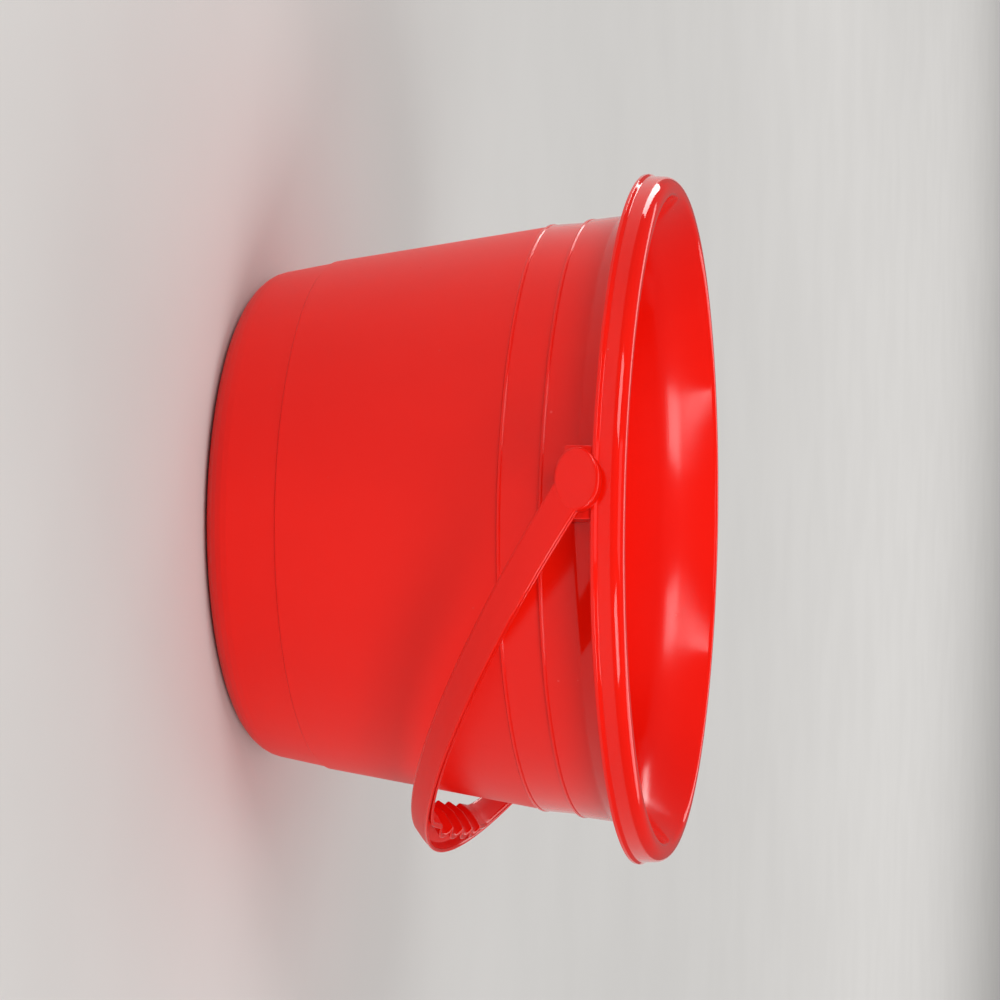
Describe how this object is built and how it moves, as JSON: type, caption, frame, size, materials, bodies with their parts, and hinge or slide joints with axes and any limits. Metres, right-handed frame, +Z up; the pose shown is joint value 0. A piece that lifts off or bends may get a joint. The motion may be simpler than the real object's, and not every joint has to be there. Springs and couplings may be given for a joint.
{
  "type": "wash bucket",
  "caption": "Round tapered plastic wash bucket with a downturned rim, ribbed upper wall and a swinging handle with a scalloped finger grip.",
  "frame": {"origin": "middle of the foot ring, on the floor that the bucket stands on", "axes": "+Z up along the bucket's axis; the handle's pins lie along Y; the handle hangs towards +X"},
  "size_m": [0.35, 0.377, 0.215],
  "materials": {
    "bucket_plastic": "glossy red polypropylene rim and upper bands, satin main wall",
    "handle_plastic": "satin red polypropylene"
  },
  "bodies": {
    "bucket": {"bucket_base": "bucket_plastic", "bucket_wall": "bucket_plastic", "rim_handle_side": "bucket_plastic", "rim_far_side": "bucket_plastic", "lug_front": "bucket_plastic", "lug_back": "bucket_plastic"},
    "handle": {"handle": "handle_plastic"}
  },
  "joints": [
    {"name": "handle_swing", "type": "hinge", "parent": "bucket", "child": "handle", "pos_m": [0, 0, 0.1955], "axis": [0, -1, 0], "range_deg": [-3, 246]}
  ]
}
